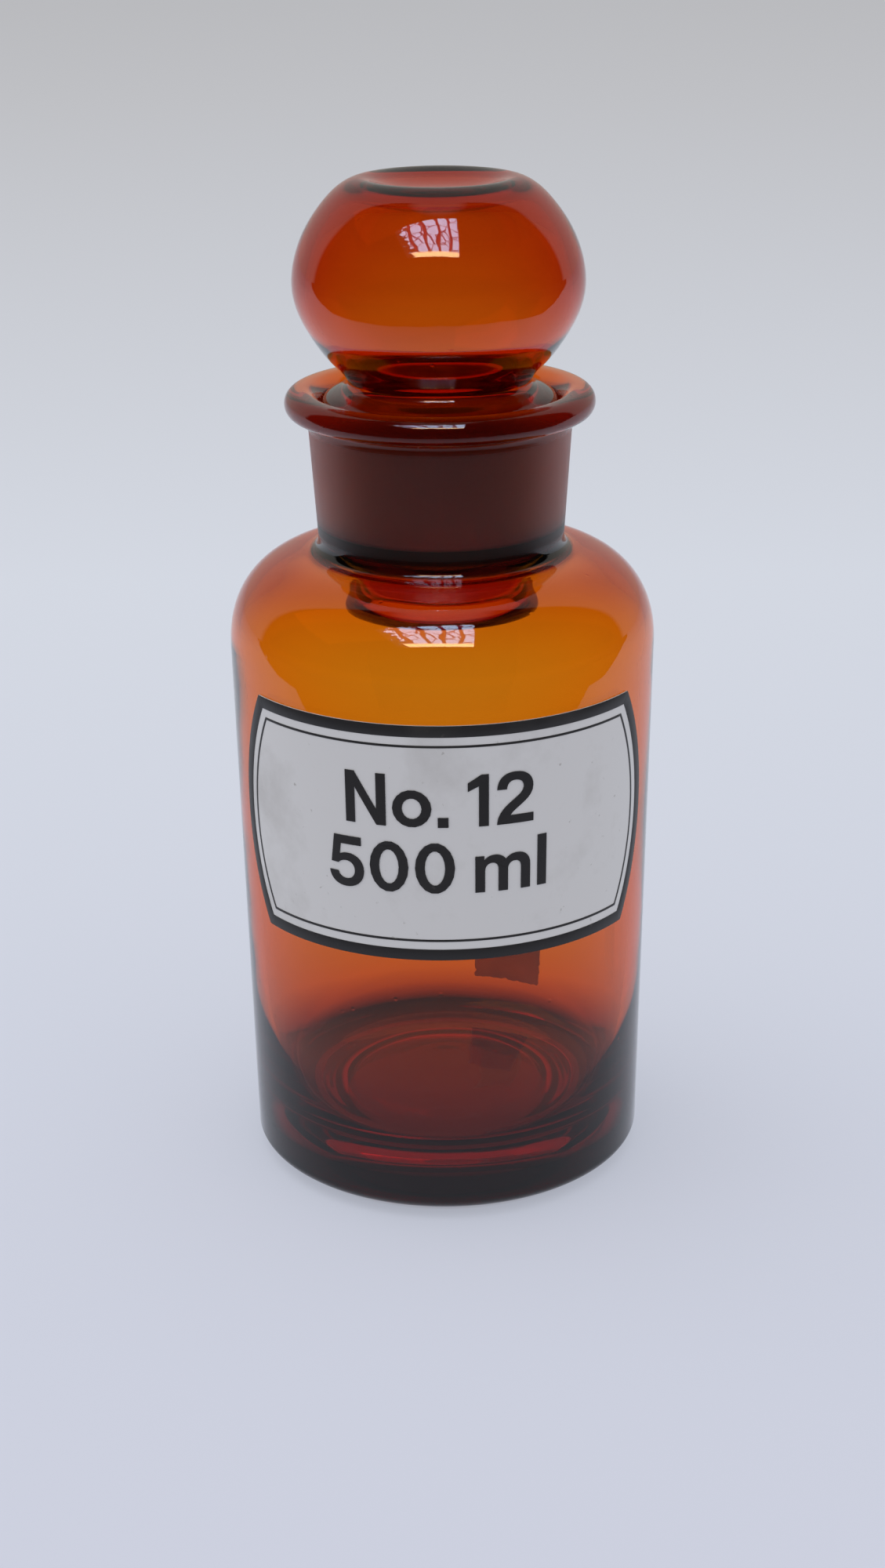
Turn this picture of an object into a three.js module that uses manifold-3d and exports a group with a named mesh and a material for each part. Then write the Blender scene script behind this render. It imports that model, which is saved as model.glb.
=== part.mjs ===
// Apothecary reagent bottle in amber glass, with a hollow ground stopper and a fired enamel label.
// Millimetres, +Z up, the bottle stands on z = 0 and its label faces -Y.
import * as THREE from 'three';
import * as BufferGeometryUtils from 'three/addons/utils/BufferGeometryUtils.js';
import Module from 'manifold-3d';

// ---- driving dimensions, millimetres ----
const TURN_STEPS = 48;
const FOOT_RING_IN = 29.3;
const FOOT_RING_OUT = 32.1;
const HEEL_R = 42.04;
const HEEL_Z = 4.54;
const BODY_R = 44.26;
const SHOULDER_Z = 115.2;
const NECK_FOOT_R = 25.3;
const NECK_FOOT_Z = 134.8;
const NECK_TOP_R = 26.9;
const LIP_R = 31.6;
const LIP_Z = 165.4;
const LIP_TOP_Z = 168.2;
const BORE_TOP_R = 24.22;
const BORE_TOP_Z = 165.4;
const BORE_LOW_R = 22.6;
const BORE_LOW_Z = 133.3;
const WALL = 2.36;
const THICK_R = 40.15; // the inside below which the wall thickens
const THICK_Z = 55.0;
const PLUG_GAP = 0.3;
const PLUG_LOW_Z = 134.6;
const GLOBE_R = 29.4;
const GLOBE_Z = 189.0;
const GLOBE_TOP_Z = 210.0;

const LABEL_LOW_Z = 60.5;
const LABEL_TOP_Z = 111.0;
const LABEL_CORNER_ANGLE = 57.8;
const LABEL_SIDE_ANGLE = 67.5;
const LABEL_BORDER = 2.4;
const LABEL_LINE_IN = 4.1;
const LABEL_LINE = 0.5;
const GROUND_LIFT = 0.12;
const GROUND_THICK = 0.2;
const INK_LIFT = 0.38;
const INK_THICK = 0.14;

const STICKER_LOW_Z = 17.0;
const STICKER_TOP_Z = 46.0;
const STICKER_ANGLES = [145.5, 171.0];

const LETTER_H = 11;
const STROKE = 1.95;
const ROW_1_Z = 89.6;
const ROW_2_Z = 75.3;

const wasm = await Module();
wasm.setup();

// ---- materials ----
function paint(colour, roughness) {
  return new THREE.MeshStandardMaterial({ color: colour, roughness: roughness, metalness: 0 });
}
const amberGlass = paint(0xb5540c, 0.08);
const whiteEnamel = paint(0xc9c7c8, 0.45);
const blackEnamel = paint(0x1d1d21, 0.5);
const brownPaper = paint(0x8a5a34, 0.9);

// ---- shared shapes ----
function bodyRadius(z) {
  return HEEL_R + (BODY_R - HEEL_R) * (z - HEEL_Z) / (SHOULDER_Z - HEEL_Z);
}

function onBody(angle, z, lift) {
  const r = bodyRadius(z) + lift;
  return [r * Math.sin(angle), -r * Math.cos(angle), z];
}

function quarterRound(r0, z0, r1, z1, power, steps) {
  // a curve that leaves (r0, z0) upward and reaches (r1, z1) level
  const points = [];
  for (let i = 1; i <= steps; i += 1) {
    const t = 0.5 * Math.PI * i / steps;
    const r = r1 + (r0 - r1) * Math.pow(Math.cos(t), 2 / power);
    const z = z0 + (z1 - z0) * Math.pow(Math.sin(t), 2 / power);
    points.push([r, z]);
  }
  return points;
}

function smoothLine(knots, steps) {
  const curve = new THREE.SplineCurve(knots.map(([r, z]) => new THREE.Vector2(r, z)));
  return curve.getPoints(steps).map((p) => [p.x, p.y]);
}

function latheUp(profile) {
  // turns a closed profile of [radius, height] about +Z
  const points = profile.map(([r, z]) => new THREE.Vector2(Math.max(r, 0), z));
  const turned = new THREE.LatheGeometry(points, TURN_STEPS);
  turned.rotateX(Math.PI / 2);
  return facingOut(turned);
}

function merged(geometry) {
  const bare = geometry.clone();
  bare.deleteAttribute('normal');
  bare.deleteAttribute('uv');
  const welded = BufferGeometryUtils.mergeVertices(bare, 1e-4);
  return withoutSlivers(welded);
}

function withoutSlivers(geometry) {
  const index = geometry.getIndex().array;
  const kept = [];
  for (let i = 0; i < index.length; i += 3) {
    const [a, b, c] = [index[i], index[i + 1], index[i + 2]];
    if (a !== b && b !== c && c !== a) {
      kept.push(a, b, c);
    }
  }
  geometry.setIndex(kept);
  return geometry;
}

function signedVolume(geometry) {
  const pos = geometry.getAttribute('position');
  const index = geometry.getIndex().array;
  const a = new THREE.Vector3();
  const b = new THREE.Vector3();
  const c = new THREE.Vector3();
  let sum = 0;
  for (let i = 0; i < index.length; i += 3) {
    a.fromBufferAttribute(pos, index[i]);
    b.fromBufferAttribute(pos, index[i + 1]);
    c.fromBufferAttribute(pos, index[i + 2]);
    sum += a.dot(b.cross(c)) / 6;
  }
  return sum;
}

function facingOut(geometry) {
  const solid = merged(geometry);
  if (signedVolume(solid) < 0) {
    const index = Array.from(solid.getIndex().array);
    for (let i = 0; i < index.length; i += 3) {
      [index[i + 1], index[i + 2]] = [index[i + 2], index[i + 1]];
    }
    solid.setIndex(index);
  }
  solid.computeVertexNormals();
  return solid;
}

function solidFromRings(rings, endless) {
  // rings of equal length, joined side to side; endless joins the last ring to the first
  const count = rings[0].length;
  const flat = rings.flat().flat();
  const index = [];
  const spans = endless ? rings.length : rings.length - 1;
  for (let i = 0; i < spans; i += 1) {
    const here = i * count;
    const next = ((i + 1) % rings.length) * count;
    for (let j = 0; j < count; j += 1) {
      const k = (j + 1) % count;
      index.push(here + j, next + j, next + k);
      index.push(here + j, next + k, here + k);
    }
  }
  if (!endless) {
    closeEnd(index, 0, count, true);
    closeEnd(index, (rings.length - 1) * count, count, false);
  }
  const geometry = new THREE.BufferGeometry();
  geometry.setAttribute('position', new THREE.Float32BufferAttribute(flat, 3));
  geometry.setIndex(index);
  return facingOut(geometry);
}

function closeEnd(index, start, count, first) {
  // a ring lists its front going up, then its back coming down
  for (let j = 0; j < count / 2 - 1; j += 1) {
    const [a, b, c, d] = [start + j, start + j + 1, start + count - 2 - j, start + count - 1 - j];
    if (first) {
      index.push(a, b, c, a, c, d);
    } else {
      index.push(a, c, b, a, d, c);
    }
  }
}

// ---- bottle: body, kick, shoulder, neck and lip, one blown piece ----
function bottleOutside() {
  const kick = smoothLine([[0, 10.2], [9, 10.1], [16.5, 9.5], [21.5, 8.1], [25, 5.2], [27.2, 1.9],
    [FOOT_RING_IN, 0]], 10);
  const heel = [];
  for (let i = 0; i <= 6; i += 1) {
    const t = 0.5 * Math.PI * i / 6;
    heel.push([FOOT_RING_OUT + (HEEL_R - FOOT_RING_OUT) * Math.sin(t), HEEL_Z * (1 - Math.cos(t))]);
  }
  const shoulder = quarterRound(BODY_R, SHOULDER_Z, NECK_FOOT_R, NECK_FOOT_Z, 2.22, 9).slice(0, 8);
  const neck = [[27.2, 134.9], [26.0, 135.5], [25.45, 136.7], [25.4, 138.0], [NECK_TOP_R, 161.0]];
  const lip = [[27.3, 162.1], [28.4, 162.65], [29.8, 162.75], [31.0, 163.6], [LIP_R, LIP_Z], [31.05, 167.1],
    [29.9, 168.0], [28.3, LIP_TOP_Z], [26.7, 168.0], [25.4, 167.2], [24.6, 166.2]];
  return [...kick, ...heel, [BODY_R, SHOULDER_Z], ...shoulder, ...neck, ...lip];
}

function bottleInside() {
  const bore = [[BORE_TOP_R, BORE_TOP_Z], [BORE_LOW_R, BORE_LOW_Z]];
  const boreFoot = [[22.85, 132.5], [23.5, 132.0], [24.6, 131.8]];
  const shoulder = quarterRound(BODY_R - WALL, SHOULDER_Z, 22.6, 131.8, 2.22, 9).slice(0, 8).reverse();
  const floor = smoothLine([[THICK_R, THICK_Z], [39.75, 42.0], [39.2, 32.0], [38.3, 24.6], [37.0, 18.8],
    [35.0, 15.0], [32.0, 13.3], [28.0, 13.4], [23.4, 14.3], [18.0, 15.4], [12.0, 16.2], [7.6, 16.5],
    [6.2, 16.62], [4.6, 16.66], [0, 16.7]], 22);
  return [...bore, ...boreFoot, ...shoulder, [BODY_R - WALL, SHOULDER_Z], ...floor];
}

function bottle() {
  return latheUp([...bottleOutside(), ...bottleInside()]);
}

// ---- stopper: dished globe, waist and hollow ground plug, one blown piece ----
function plugRadius(z) {
  const slope = (BORE_TOP_R - BORE_LOW_R) / (BORE_TOP_Z - BORE_LOW_Z);
  return BORE_LOW_R + slope * (z - BORE_LOW_Z) - PLUG_GAP;
}

function stopperOutside() {
  const globe = smoothLine([[0, 207.3], [6, 207.5], [11.4, 208.9], [15.4, GLOBE_TOP_Z], [19.2, 208.7],
    [23.0, 205.2], [26.4, 200.3], [28.7, 194.6], [GLOBE_R, GLOBE_Z], [28.5, 184.4], [25.7, 178.9],
    [22.2, 174.2], [19.4, 171.2], [18.6, 169.9]], 24);
  const collar = [[19.0, 169.0], [20.6, 168.1], [22.6, 167.3], [23.6, 166.5]];
  const plug = [[plugRadius(BORE_TOP_Z), BORE_TOP_Z], [plugRadius(PLUG_LOW_Z), PLUG_LOW_Z]];
  const rim = smoothLine([[plugRadius(PLUG_LOW_Z), PLUG_LOW_Z], [21.7, 133.2], [20.5, 132.1], [19.3, 131.0],
    [18.1, 129.4], [17.3, 128.0], [17.4, 126.9], [18.6, 126.2], [19.5, 125.4], [19.5, 124.4], [18.6, 123.7],
    [17.2, 123.6], [15.7, 124.2], [14.8, 125.6], [14.6, 127.6], [15.4, 130.4], [17.2, 133.6], [18.7, 136.6],
    [19.4, 140.0]], 26).slice(1);
  return [...globe, ...collar, ...plug, ...rim];
}

function stopperInside() {
  const plug = [[19.75, 146.0], [20.2, 153.0], [20.6, 160.0]];
  const globe = smoothLine([[20.6, 160.0], [20.3, 163.0], [18.7, 165.6], [16.9, 167.6], [15.9, 169.8],
    [16.8, 171.9], [19.2, 174.6], [22.4, 178.2], [25.3, 182.8], [26.6, 188.4], [25.7, 194.0], [23.5, 199.4],
    [20.6, 203.4], [17.6, 206.0], [15.2, 206.6], [12.2, 205.7], [8.0, 204.4], [0, 204.1]], 30);
  return [...plug, ...globe.slice(1)];
}

function stopper() {
  return latheUp([...stopperOutside(), ...stopperInside()]);
}

// ---- enamel label, wrapped on the body ----
function labelHalfAngle(z) {
  const middle = 0.5 * (LABEL_LOW_Z + LABEL_TOP_Z);
  const t = (z - middle) / (0.5 * (LABEL_TOP_Z - LABEL_LOW_Z));
  const degrees = LABEL_CORNER_ANGLE + (LABEL_SIDE_ANGLE - LABEL_CORNER_ANGLE) * (1 - t * t);
  return THREE.MathUtils.degToRad(degrees);
}

function labelContour(inset) {
  // once round the label, inset by a distance from its edge
  const low = LABEL_LOW_Z + inset;
  const high = LABEL_TOP_Z - inset;
  const across = 26;
  const up = 10;
  const half = (z) => labelHalfAngle(z) - inset * 1.05 / bodyRadius(z);
  const points = [];
  for (let i = 0; i < across; i += 1) {
    points.push([half(low) * (2 * i / across - 1), low]);
  }
  for (let j = 0; j < up; j += 1) {
    const z = low + (high - low) * j / up;
    points.push([half(z), z]);
  }
  for (let i = 0; i < across; i += 1) {
    points.push([half(high) * (1 - 2 * i / across), high]);
  }
  for (let j = 0; j < up; j += 1) {
    const z = high + (low - high) * j / up;
    points.push([-half(z), z]);
  }
  return points;
}

function labelFrame(outerInset, innerInset) {
  const outer = labelContour(outerInset);
  const inner = labelContour(innerInset);
  const top = INK_LIFT + INK_THICK;
  const rings = outer.map(([angle, z], i) => [
    onBody(angle, z, top), onBody(inner[i][0], inner[i][1], top),
    onBody(inner[i][0], inner[i][1], INK_LIFT), onBody(angle, z, INK_LIFT),
  ]);
  return solidFromRings(rings, true);
}

function wrappedSheet(low, high, angleAt, across, up, lift, thick) {
  const rings = [];
  for (let i = 0; i <= across; i += 1) {
    const front = [];
    const back = [];
    for (let j = 0; j <= up; j += 1) {
      const z = low + (high - low) * j / up;
      const angle = angleAt(z, i / across);
      front.push(onBody(angle, z, lift + thick));
      back.unshift(onBody(angle, z, lift));
    }
    rings.push([...front, ...back]);
  }
  return solidFromRings(rings, false);
}

function labelGround() {
  const angleAt = (z, t) => labelHalfAngle(z) * (2 * t - 1);
  return wrappedSheet(LABEL_LOW_Z, LABEL_TOP_Z, angleAt, 26, 10, GROUND_LIFT, GROUND_THICK);
}

function backSticker() {
  const [from, to] = STICKER_ANGLES.map((a) => THREE.MathUtils.degToRad(a));
  const angleAt = (z, t) => from + (to - from) * t;
  return wrappedSheet(STICKER_LOW_Z, STICKER_TOP_Z, angleAt, 8, 4, GROUND_LIFT, GROUND_THICK);
}

// ---- enamel lettering: plain numbers, drawn flat and then wrapped ----
function polygon(corners) {
  return new THREE.Shape(corners.map(([x, y]) => new THREE.Vector2(x, y)));
}

function ring(width, height) {
  const shape = new THREE.Shape();
  shape.absellipse(width / 2, height / 2, width / 2, height / 2, 0, 2 * Math.PI, false, 0);
  const hole = new THREE.Path();
  const inX = width / 2 - STROKE;
  const inY = height / 2 - 0.9 * STROKE;
  hole.absellipse(width / 2, height / 2, inX, inY, 0, 2 * Math.PI, true, 0);
  shape.holes.push(hole);
  return shape;
}

function capitalN() {
  const w = 8.4;
  return polygon([[0, 0], [STROKE, 0], [STROKE, 7.7], [w - STROKE, 0], [w, 0], [w, LETTER_H],
    [w - STROKE, LETTER_H], [w - STROKE, 3.3], [STROKE, LETTER_H], [0, LETTER_H]]);
}

function digitOne() {
  return polygon([[2.2, 0], [4.15, 0], [4.15, LETTER_H], [2.7, LETTER_H], [0, 9.3], [0, 7.5], [2.2, 8.6]]);
}

function digitTwo() {
  const s = new THREE.Shape();
  s.moveTo(0, 0);
  s.lineTo(7.6, 0);
  s.lineTo(7.6, 1.8);
  s.lineTo(2.7, 1.8);
  s.bezierCurveTo(3.9, 3.7, 7.5, 4.7, 7.5, 7.7);
  s.bezierCurveTo(7.5, 9.8, 6.0, LETTER_H, 3.8, LETTER_H);
  s.bezierCurveTo(1.5, LETTER_H, 0.1, 9.7, 0.05, 7.4);
  s.lineTo(2.0, 7.4);
  s.bezierCurveTo(2.05, 8.6, 2.7, 9.25, 3.75, 9.25);
  s.bezierCurveTo(4.9, 9.25, 5.5, 8.6, 5.5, 7.6);
  s.bezierCurveTo(5.5, 5.4, 0.2, 4.4, 0, 0);
  return s;
}

function digitFive() {
  const s = new THREE.Shape();
  s.moveTo(0, 3.1);
  s.bezierCurveTo(0.2, 1.1, 1.7, 0, 3.7, 0);
  s.bezierCurveTo(6.0, 0, 7.6, 1.5, 7.6, 3.75);
  s.bezierCurveTo(7.6, 5.9, 6.1, 7.3, 4.1, 7.3);
  s.bezierCurveTo(3.4, 7.3, 2.8, 7.15, 2.35, 6.85);
  s.lineTo(2.65, 9.2);
  s.lineTo(7.1, 9.2);
  s.lineTo(7.1, LETTER_H);
  s.lineTo(1.2, LETTER_H);
  s.lineTo(0.45, 5.0);
  s.lineTo(2.05, 4.9);
  s.bezierCurveTo(2.5, 5.4, 3.05, 5.65, 3.75, 5.65);
  s.bezierCurveTo(4.9, 5.65, 5.65, 4.85, 5.65, 3.7);
  s.bezierCurveTo(5.65, 2.5, 4.85, 1.7, 3.75, 1.7);
  s.bezierCurveTo(2.75, 1.7, 2.1, 2.2, 1.95, 3.1);
  s.lineTo(0, 3.1);
  return s;
}

function smallM() {
  const s = new THREE.Shape();
  s.moveTo(0, 0);
  s.lineTo(1.95, 0);
  s.lineTo(1.95, 4.6);
  s.bezierCurveTo(1.95, 5.6, 2.55, 6.25, 3.45, 6.25);
  s.bezierCurveTo(4.2, 6.25, 4.68, 5.7, 4.68, 4.7);
  s.lineTo(4.68, 0);
  s.lineTo(6.62, 0);
  s.lineTo(6.62, 4.6);
  s.bezierCurveTo(6.62, 5.6, 7.2, 6.25, 8.1, 6.25);
  s.bezierCurveTo(8.9, 6.25, 9.35, 5.7, 9.35, 4.7);
  s.lineTo(9.35, 0);
  s.lineTo(11.3, 0);
  s.lineTo(11.3, 5.1);
  s.bezierCurveTo(11.3, 6.9, 10.3, 7.95, 8.6, 7.95);
  s.bezierCurveTo(7.6, 7.95, 6.8, 7.55, 6.2, 6.8);
  s.bezierCurveTo(5.8, 7.5, 5.0, 7.95, 4.0, 7.95);
  s.bezierCurveTo(3.1, 7.95, 2.4, 7.6, 1.8, 6.9);
  s.lineTo(1.8, 7.8);
  s.lineTo(0, 7.8);
  s.lineTo(0, 0);
  return s;
}

function wrappedLetter(shape, along, baseline) {
  // along is the distance round the body from the middle of the label to the letter's left edge
  const flat = new THREE.ExtrudeGeometry(shape, { depth: INK_THICK, bevelEnabled: false, curveSegments: 9 });
  const fine = refined(merged(flat), 2.8);
  const pos = fine.getAttribute('position');
  for (let i = 0; i < pos.count; i += 1) {
    const z = baseline + pos.getY(i);
    const angle = (along + pos.getX(i)) / bodyRadius(baseline);
    const [x, y, up] = onBody(angle, z, INK_LIFT + pos.getZ(i));
    pos.setXYZ(i, x, y, up);
  }
  return facingOut(fine);
}

function refined(geometry, length) {
  const mesh = new wasm.Mesh({
    numProp: 3,
    vertProperties: new Float32Array(geometry.getAttribute('position').array),
    triVerts: new Uint32Array(geometry.getIndex().array),
  });
  const out = new wasm.Manifold(mesh).refineToLength(length).getMesh();
  const result = new THREE.BufferGeometry();
  result.setAttribute('position', new THREE.Float32BufferAttribute(Array.from(out.vertProperties), 3));
  result.setIndex(Array.from(out.triVerts));
  return result;
}

// ---- assembly ----
const model = new THREE.Group();
model.name = 'reagent_bottle';

function place(name, geometry, material) {
  const mesh = new THREE.Mesh(geometry, material);
  mesh.name = name;
  model.add(mesh);
}

place('bottle', bottle(), amberGlass);
place('stopper', stopper(), amberGlass);
place('label_ground', labelGround(), whiteEnamel);
place('label_border', labelFrame(0, LABEL_BORDER), blackEnamel);
place('label_line', labelFrame(LABEL_LINE_IN, LABEL_LINE_IN + LABEL_LINE), blackEnamel);
place('back_sticker', backSticker(), brownPaper);

const FIRST_ROW = [
  ['letter_n', capitalN(), 0],
  ['letter_o', ring(7.8, 7.9), 9.7],
  ['letter_stop', polygon([[0, 0], [2.1, 0], [2.1, 2.1], [0, 2.1]]), 18.7],
  ['number_1', digitOne(), 24.6],
  ['number_2', digitTwo(), 30.4],
];
const SECOND_ROW = [
  ['capacity_5', digitFive(), 0],
  ['capacity_0_left', ring(7.9, LETTER_H), 8.9],
  ['capacity_0_right', ring(7.9, LETTER_H), 18.1],
  ['capacity_m', smallM(), 30.0],
  ['capacity_l', polygon([[0, 0], [STROKE, 0], [STROKE, LETTER_H], [0, LETTER_H]]), 42.9],
];
for (const [name, shape, along] of FIRST_ROW) {
  place(name, wrappedLetter(shape, along - 20.0, ROW_1_Z), blackEnamel);
}
for (const [name, shape, along] of SECOND_ROW) {
  place(name, wrappedLetter(shape, along - 24.0, ROW_2_Z), blackEnamel);
}

export default model;
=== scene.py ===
import math

import bpy
import numpy as np
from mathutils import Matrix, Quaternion, Vector


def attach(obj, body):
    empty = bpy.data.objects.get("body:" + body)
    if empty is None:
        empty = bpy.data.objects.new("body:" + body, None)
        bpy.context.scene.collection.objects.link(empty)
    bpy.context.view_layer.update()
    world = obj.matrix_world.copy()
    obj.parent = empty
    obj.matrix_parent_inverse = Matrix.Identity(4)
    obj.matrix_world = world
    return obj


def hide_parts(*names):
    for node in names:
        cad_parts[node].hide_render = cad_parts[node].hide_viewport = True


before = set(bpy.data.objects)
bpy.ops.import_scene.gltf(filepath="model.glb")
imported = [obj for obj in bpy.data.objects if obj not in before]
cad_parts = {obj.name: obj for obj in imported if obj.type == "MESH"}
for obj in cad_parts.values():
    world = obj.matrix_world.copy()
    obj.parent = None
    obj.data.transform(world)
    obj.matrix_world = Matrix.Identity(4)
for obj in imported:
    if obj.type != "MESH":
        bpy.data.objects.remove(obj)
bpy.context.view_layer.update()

# Amber glass reagent bottle: a blown and moulded body, a hollow stopper whose plug is ground into
# the neck, a fired enamel label and a scrap of paper left on the back. Lengths are in metres.
MM = 0.001
TURN_STEPS = 192


# ---------------------------------------------------------------- tools at the bench
def put_down_everything():
    """Leaves nothing selected, so that the next operator acts only on its own piece."""
    bpy.ops.object.select_all(action="DESELECT")
    bpy.context.view_layer.objects.active = None


def take(piece):
    """Selects one piece and makes it the active one."""
    put_down_everything()
    piece.select_set(True)
    bpy.context.view_layer.objects.active = piece


def name_piece(name):
    """Names the piece in hand and its mesh."""
    piece = bpy.context.active_object
    piece.name = name
    piece.data.name = name
    return piece


def pick_vertices(piece, wanted):
    """In edit mode, selects just the vertices whose place passes the test."""
    bpy.ops.mesh.select_all(action="DESELECT")
    bpy.ops.object.mode_set(mode="OBJECT")
    for vertex in piece.data.vertices:
        vertex.select = wanted(vertex.co)
    bpy.ops.object.mode_set(mode="EDIT")


def apply_modifier(piece, kind, **settings):
    """Adds one modifier, sets it and applies it."""
    take(piece)
    modifier = piece.modifiers.new(kind.lower(), kind)
    for name, value in settings.items():
        setattr(modifier, name, value)
    bpy.ops.object.modifier_apply(modifier=modifier.name)


def smooth_line(knots, steps):
    """A line with even curvature through the knots, as a bent spline batten gives."""
    knots = np.array(knots, float)
    chord = np.concatenate([[0.0], np.cumsum(np.hypot(*np.diff(knots, axis=0).T))])
    count = len(knots)
    gap = np.diff(chord)
    system = np.zeros((count, count))
    side = np.zeros((count, 2))
    system[0, 0] = system[-1, -1] = 1.0
    for i in range(1, count - 1):
        system[i, i - 1], system[i, i], system[i, i + 1] = gap[i - 1], 2 * (gap[i - 1] + gap[i]), gap[i]
        side[i] = 6 * ((knots[i + 1] - knots[i]) / gap[i] - (knots[i] - knots[i - 1]) / gap[i - 1])
    bend = np.linalg.solve(system, side)
    line = []
    for along in np.linspace(0, chord[-1], steps):
        i = min(max(int(np.searchsorted(chord, along)) - 1, 0), count - 2)
        left, right = chord[i + 1] - along, along - chord[i]
        point = (
            (bend[i] * left**3 + bend[i + 1] * right**3) / (6 * gap[i])
            + (knots[i] / gap[i] - bend[i] * gap[i] / 6) * left
            + (knots[i + 1] / gap[i] - bend[i + 1] * gap[i] / 6) * right
        )
        line.append((float(point[0]), float(point[1])))
    return line


def straight_line(start, end, steps):
    """Even points from start to end, both given."""
    return [tuple(np.array(start) + (np.array(end) - np.array(start)) * i / steps) for i in range(steps + 1)]


def joined(*lines):
    """One line out of several, without a point twice where they meet."""
    whole = []
    for line in lines:
        for point in line:
            if not whole or math.dist(point, whole[-1]) > 1e-3:
                whole.append(point)
    return whole


def trace(name, points):
    """A wire through the points, drawn by extruding one corner. Points are (x, z) in millimetres."""
    put_down_everything()
    bpy.ops.mesh.primitive_plane_add(size=MM, enter_editmode=True)
    bpy.ops.mesh.merge(type="CENTER")
    bpy.ops.transform.translate(value=(points[0][0] * MM, 0, points[0][1] * MM))
    for here, there in zip(points, points[1:]):
        step = ((there[0] - here[0]) * MM, 0, (there[1] - here[1]) * MM)
        bpy.ops.mesh.extrude_vertices_move(TRANSFORM_OT_translate={"value": step})
    return name_piece(name)


def spin_round_axis(name, profile):
    """Turns a profile of (radius, height) once about the bottle's axis into a closed body of glass."""
    piece = trace(name, profile)
    bpy.ops.mesh.select_all(action="SELECT")
    bpy.ops.mesh.spin(steps=TURN_STEPS, angle=2 * math.pi, center=(0, 0, 0), axis=(0, 0, 1))
    bpy.ops.mesh.select_all(action="SELECT")
    bpy.ops.mesh.remove_doubles(threshold=2e-6)
    bpy.ops.mesh.normals_make_consistent(inside=False)
    bpy.ops.object.mode_set(mode="OBJECT")
    bpy.ops.object.shade_smooth()
    return piece


# ---------------------------------------------------------------- bottle
BODY_FOOT_R, BODY_FOOT_Z = 42.04, 4.54
BODY_TOP_R, BODY_TOP_Z = 44.26, 115.2
FOOT_RING_IN, FOOT_RING_OUT = 29.3, 32.1
NECK_FOOT_R, NECK_FOOT_Z = 25.3, 134.8
WALL = 2.36
THICK_R, THICK_Z = 40.15, 55.0  # the inside below which the wall thickens
BORE_TOP_R, BORE_TOP_Z = 24.22, 165.4
BORE_LOW_R, BORE_LOW_Z = 22.6, 133.3
HEEL_STEPS, SHOULDER_STEPS, SHOULDER_POWER = 14, 34, 2.22
SHOULDER_POINTS, INNER_SHOULDER_POINTS = 31, 30  # kept before the curve into the neck takes over


def body_radius(height):
    return BODY_FOOT_R + (BODY_TOP_R - BODY_FOOT_R) * (height - BODY_FOOT_Z) / (BODY_TOP_Z - BODY_FOOT_Z)


def round_shoulder(foot, top):
    """A shoulder that leaves the body upright and reaches the neck level, squarer than an ellipse."""
    line = []
    for i in range(SHOULDER_STEPS + 1):
        t = 0.5 * math.pi * i / SHOULDER_STEPS
        line.append((top[0] + (foot[0] - top[0]) * math.cos(t) ** (2 / SHOULDER_POWER),
                     foot[1] + (top[1] - foot[1]) * math.sin(t) ** (2 / SHOULDER_POWER)))
    return line


def bottle_profile():
    """Once round the bottle's section: from under the base, up the outside, over the lip, down the inside."""
    kick = smooth_line([(0, 10.2), (9, 10.1), (16.5, 9.5), (21.5, 8.1), (25, 5.2), (27.2, 1.9),
                        (FOOT_RING_IN, 0)], 22)
    heel = []
    for i in range(HEEL_STEPS + 1):
        t = 0.5 * math.pi * i / HEEL_STEPS
        radius = FOOT_RING_OUT + (BODY_FOOT_R - FOOT_RING_OUT) * math.sin(t)
        heel.append((radius, BODY_FOOT_Z * (1 - math.cos(t))))
    wall = straight_line((BODY_FOOT_R, BODY_FOOT_Z), (BODY_TOP_R, BODY_TOP_Z), 12)
    shoulder = round_shoulder((BODY_TOP_R, BODY_TOP_Z), (NECK_FOOT_R, NECK_FOOT_Z))[:SHOULDER_POINTS]
    neck_foot = smooth_line([shoulder[-1], (27.2, 134.95), (26.0, 135.55), (25.5, 136.7), (25.4, 138.2)], 14)
    neck = straight_line((25.4, 138.2), (26.9, 160.8), 6)
    lip = smooth_line([(26.9, 160.8), (27.3, 162.1), (28.4, 162.6), (29.8, 162.8), (31.0, 163.6),
                       (31.6, 165.4), (31.05, 167.1), (29.9, 168.0), (28.3, 168.2), (26.7, 168.0),
                       (25.4, 167.2), (24.6, 166.2), (BORE_TOP_R, BORE_TOP_Z)], 44)
    bore = straight_line((BORE_TOP_R, BORE_TOP_Z), (BORE_LOW_R, BORE_LOW_Z), 16)
    inner_shoulder = round_shoulder((BODY_TOP_R - WALL, BODY_TOP_Z), (22.6, 131.8))
    inner_shoulder = inner_shoulder[:INNER_SHOULDER_POINTS][::-1]
    inner_wall = straight_line((BODY_TOP_R - WALL, BODY_TOP_Z), (THICK_R, THICK_Z), 10)
    bore_foot = smooth_line([(BORE_LOW_R, BORE_LOW_Z), (22.85, 132.5), (23.5, 132.0), (24.6, 131.8),
                             inner_shoulder[0]], 12)
    floor = smooth_line([(THICK_R, THICK_Z), (39.75, 42.0), (39.2, 32.0), (38.3, 24.6), (37.0, 18.8),
                         (35.0, 15.0), (32.0, 13.3), (28.0, 13.4), (23.4, 14.3), (18.0, 15.4), (12.0, 16.2),
                         (7.6, 16.5), (6.2, 16.62), (4.6, 16.66), (0, 16.7)], 84)
    return joined(kick, [(FOOT_RING_IN, 0), (FOOT_RING_OUT, 0)], heel, wall, shoulder, neck_foot, neck, lip,
                  bore, bore_foot, inner_shoulder, inner_wall, floor)


bottle = spin_round_axis("amber_bottle", bottle_profile())
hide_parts("bottle")
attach(bottle, "bottle_body")


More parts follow.
